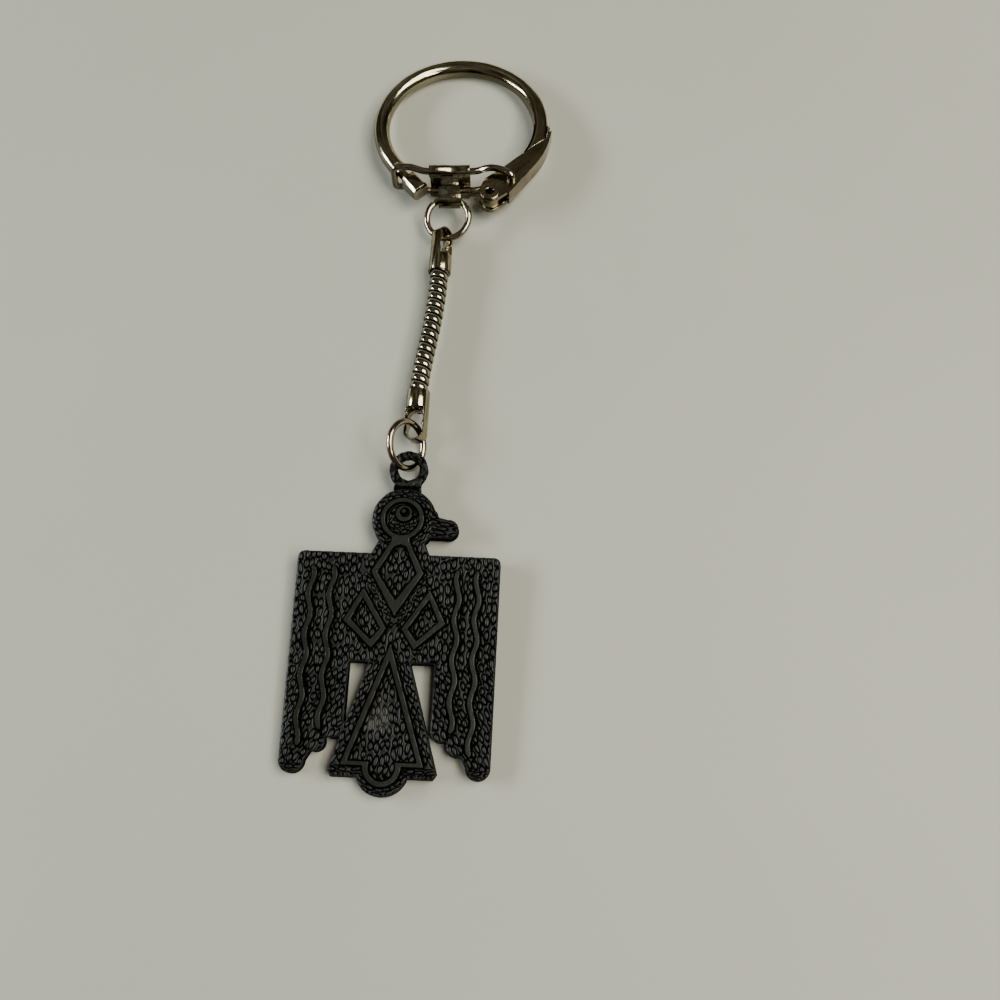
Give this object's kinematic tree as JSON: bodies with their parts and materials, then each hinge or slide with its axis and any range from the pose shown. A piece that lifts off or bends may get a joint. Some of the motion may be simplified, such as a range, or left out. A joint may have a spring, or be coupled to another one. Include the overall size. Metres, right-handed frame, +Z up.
{
  "type": "keychain",
  "caption": "Souvenir keychain: lever-lock key ring, swivel tab, round snake chain between two end caps and a flat cast pendant in the shape of a bird.",
  "frame": {"origin": "centre of the footprint, on the table", "axes": "+Y runs from the pendant to the key ring, +Z is up from the table with the keychain lying on its back"},
  "size_m": [0.042, 0.1321, 0.0072],
  "materials": {
    "nickel": "polished nickel plate, lightly worn",
    "lever_nickel": "polished nickel plate on folded sheet",
    "rivet_nickel": "nickel plate, rolled rim",
    "tab_nickel": "nickel plate on folded sheet, fine scratches",
    "chain_nickel": "nickel plate, dark grime between the links",
    "dark_casting": "dark antiqued casting, raised lines worn lighter"
  },
  "bodies": {
    "ring": {"ring_body": "nickel"},
    "latch": {"latch_lever": "lever_nickel", "lever_rivet": "rivet_nickel"},
    "bail": {"wire_bail": "nickel"},
    "tab": {"swivel_tab": "tab_nickel"},
    "upper_jump": {"upper_jump_ring": "nickel"},
    "upper_cap": {"upper_end_cap": "nickel", "chain_link_01": "chain_nickel"},
    "link_02": {"chain_link_02": "chain_nickel"},
    "link_03": {"chain_link_03": "chain_nickel"},
    "link_04": {"chain_link_04": "chain_nickel"},
    "link_05": {"chain_link_05": "chain_nickel"},
    "link_06": {"chain_link_06": "chain_nickel"},
    "link_07": {"chain_link_07": "chain_nickel"},
    "link_08": {"chain_link_08": "chain_nickel"},
    "link_09": {"chain_link_09": "chain_nickel"},
    "link_10": {"chain_link_10": "chain_nickel"},
    "link_11": {"chain_link_11": "chain_nickel"},
    "link_12": {"chain_link_12": "chain_nickel"},
    "link_13": {"chain_link_13": "chain_nickel"},
    "link_14": {"chain_link_14": "chain_nickel"},
    "link_15": {"chain_link_15": "chain_nickel"},
    "link_16": {"chain_link_16": "chain_nickel"},
    "link_17": {"chain_link_17": "chain_nickel"},
    "lower_cap": {"chain_link_18": "chain_nickel", "lower_end_cap": "nickel"},
    "lower_jump": {"lower_jump_ring": "nickel"},
    "pendant": {"bird_pendant": "dark_casting"}
  },
  "joints": [
    {"name": "lever_hinge", "type": "hinge", "parent": "ring", "child": "latch", "pos_m": [0.0098, 0.03465, 0.00386], "axis": [0, -0.0802, -0.9968], "range_deg": [0, 100]},
    {"name": "bail_pivot", "type": "hinge", "parent": "latch", "child": "bail", "pos_m": [0.0137, 0.03754, 0.00363], "axis": [0, 0.0802, 0.9968], "range_deg": [0, 151]},
    {"name": "tab_slide", "type": "slide", "parent": "bail", "child": "tab", "axis": [1, 0, 0], "range_m": [-0.0008, 0.0008]},
    {"name": "upper_ring_swing", "type": "hinge", "parent": "tab", "child": "upper_jump", "pos_m": [0.0028, 0.0344, 0.00388], "axis": [1, 0, 0], "range_deg": [-60, 60]},
    {"name": "upper_cap_swing", "type": "hinge", "parent": "upper_jump", "child": "upper_cap", "pos_m": [0.00181, 0.02762, 0.0021], "axis": [0.9756, -0.1993, 0.0924], "range_deg": [-20, 4]},
    {"name": "chain_side_02", "type": "hinge", "parent": "upper_cap", "child": "link_02", "pos_m": [0.00123, 0.021, 0.00245], "axis": [0, 0, 1], "range_deg": [-7, 7]},
    {"name": "chain_lift_03", "type": "hinge", "parent": "link_02", "child": "link_03", "pos_m": [0.00114, 0.0196, 0.00245], "axis": [0.9979, -0.0645, 0], "range_deg": [-8, 8]},
    {"name": "chain_side_04", "type": "hinge", "parent": "link_03", "child": "link_04", "pos_m": [0.00105, 0.01821, 0.00245], "axis": [0, 0, 1], "range_deg": [-7, 7]},
    {"name": "chain_lift_05", "type": "hinge", "parent": "link_04", "child": "link_05", "pos_m": [0.00092, 0.01681, 0.00245], "axis": [0.996, -0.0888, 0], "range_deg": [-8, 8]},
    {"name": "chain_side_06", "type": "hinge", "parent": "link_05", "child": "link_06", "pos_m": [0.0008, 0.01542, 0.00245], "axis": [0, 0, 1], "range_deg": [-7, 7]},
    {"name": "chain_lift_07", "type": "hinge", "parent": "link_06", "child": "link_07", "pos_m": [0.00063, 0.01403, 0.00245], "axis": [0.9928, -0.1196, 0], "range_deg": [-8, 8]},
    {"name": "chain_side_08", "type": "hinge", "parent": "link_07", "child": "link_08", "pos_m": [0.00046, 0.01264, 0.00245], "axis": [0, 0, 1], "range_deg": [-7, 7]},
    {"name": "chain_lift_09", "type": "hinge", "parent": "link_08", "child": "link_09", "pos_m": [0.00025, 0.01125, 0.00245], "axis": [0.9886, -0.1508, 0], "range_deg": [-8, 8]},
    {"name": "chain_side_10", "type": "hinge", "parent": "link_09", "child": "link_10", "pos_m": [0.00004, 0.00987, 0.00245], "axis": [0, 0, 1], "range_deg": [-7, 7]},
    {"name": "chain_lift_11", "type": "hinge", "parent": "link_10", "child": "link_11", "pos_m": [-0.0002, 0.00849, 0.00245], "axis": [0.9846, -0.1747, 0], "range_deg": [-8, 8]},
    {"name": "chain_side_12", "type": "hinge", "parent": "link_11", "child": "link_12", "pos_m": [-0.00045, 0.00711, 0.00245], "axis": [0, 0, 1], "range_deg": [-7, 7]},
    {"name": "chain_lift_13", "type": "hinge", "parent": "link_12", "child": "link_13", "pos_m": [-0.0007, 0.00573, 0.00245], "axis": [0.9833, -0.1819, 0], "range_deg": [-8, 8]},
    {"name": "chain_side_14", "type": "hinge", "parent": "link_13", "child": "link_14", "pos_m": [-0.00096, 0.00436, 0.00245], "axis": [0, 0, 1], "range_deg": [-7, 7]},
    {"name": "chain_lift_15", "type": "hinge", "parent": "link_14", "child": "link_15", "pos_m": [-0.00119, 0.00298, 0.00245], "axis": [0.9864, -0.1645, 0], "range_deg": [-8, 8]},
    {"name": "chain_side_16", "type": "hinge", "parent": "link_15", "child": "link_16", "pos_m": [-0.00142, 0.0016, 0.00245], "axis": [0, 0, 1], "range_deg": [-7, 7]},
    {"name": "chain_lift_17", "type": "hinge", "parent": "link_16", "child": "link_17", "pos_m": [-0.00159, 0.00021, 0.00245], "axis": [0.9929, -0.1193, 0], "range_deg": [-8, 8]},
    {"name": "chain_side_18", "type": "hinge", "parent": "link_17", "child": "lower_cap", "pos_m": [-0.00175, -0.00118, 0.00245], "axis": [0, 0, 1], "range_deg": [-7, 7]},
    {"name": "lower_ring_swing", "type": "hinge", "parent": "lower_cap", "child": "lower_jump", "pos_m": [-0.00184, -0.0084, 0.00254], "axis": [-0.4926, 0.4567, 0.7408], "range_deg": [-50, 14]},
    {"name": "pendant_swing", "type": "hinge", "parent": "lower_jump", "child": "pendant", "pos_m": [-0.00311, -0.0153, 0.00232], "axis": [0.6315, 0.2956, -0.7169], "range_deg": [-14, 50]}
  ],
  "couplings": [
    {"joint": "bail_pivot", "follows": "lever_hinge", "ratio": 1.5}
  ]
}
